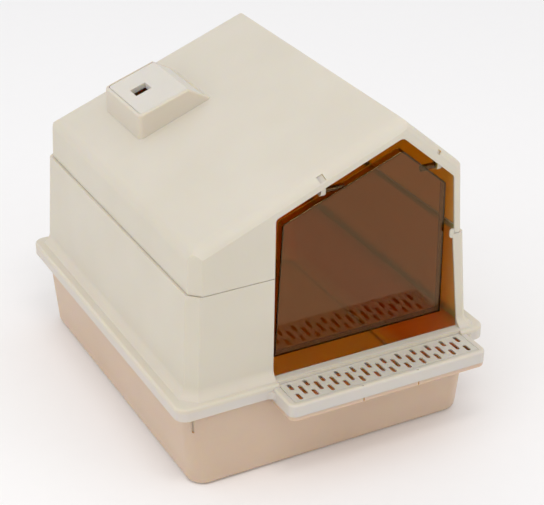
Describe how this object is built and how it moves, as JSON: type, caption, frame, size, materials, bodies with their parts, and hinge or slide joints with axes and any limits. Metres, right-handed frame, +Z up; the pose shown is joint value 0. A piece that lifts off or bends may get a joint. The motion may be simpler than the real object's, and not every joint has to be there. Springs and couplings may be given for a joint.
{
  "type": "covered litter box",
  "caption": "House-shaped covered litter box with a deep tray, lift-off hood and roof, swinging smoked door, slotted entrance step and lidded vent chimney.",
  "frame": {"origin": "middle of the bounding box's footprint, on the floor", "axes": "+Z up; -Y out of the entrance; +X to the right of someone who faces the entrance"},
  "size_m": [0.398, 0.5, 0.3884],
  "materials": {
    "tray_plastic": "satin moulded polypropylene",
    "hood_plastic": "satin moulded polypropylene",
    "smoked_plastic": "clear smoked styrene",
    "carbon_block": "pressed carbon granules with a binder"
  },
  "bodies": {
    "tray": {"litter_tray": "tray_plastic"},
    "hood": {"hood_frame": "hood_plastic"},
    "tread": {"step_tread": "hood_plastic"},
    "roof": {"roof_cover": "hood_plastic", "carbon_filter": "carbon_block"},
    "door": {"door_flap": "smoked_plastic"},
    "lid": {"chimney_lid": "hood_plastic"}
  },
  "joints": [
    {"name": "hood_lift", "type": "slide", "parent": "tray", "child": "hood", "axis": [0, 0, 1], "range_m": [0, 0.12]},
    {"name": "tread_lift", "type": "slide", "parent": "hood", "child": "tread", "axis": [0, 0, 1], "range_m": [0, 0.05]},
    {"name": "roof_lift", "type": "slide", "parent": "hood", "child": "roof", "axis": [0, 0, 1], "range_m": [0, 0.12]},
    {"name": "door_swing", "type": "hinge", "parent": "roof", "child": "door", "pos_m": [0.05, -0.17566, 0.3243], "axis": [1, 0, 0], "range_deg": [-70, 70]},
    {"name": "lid_lift", "type": "slide", "parent": "roof", "child": "lid", "axis": [0, 0, 1], "range_m": [0, 0.05]}
  ]
}
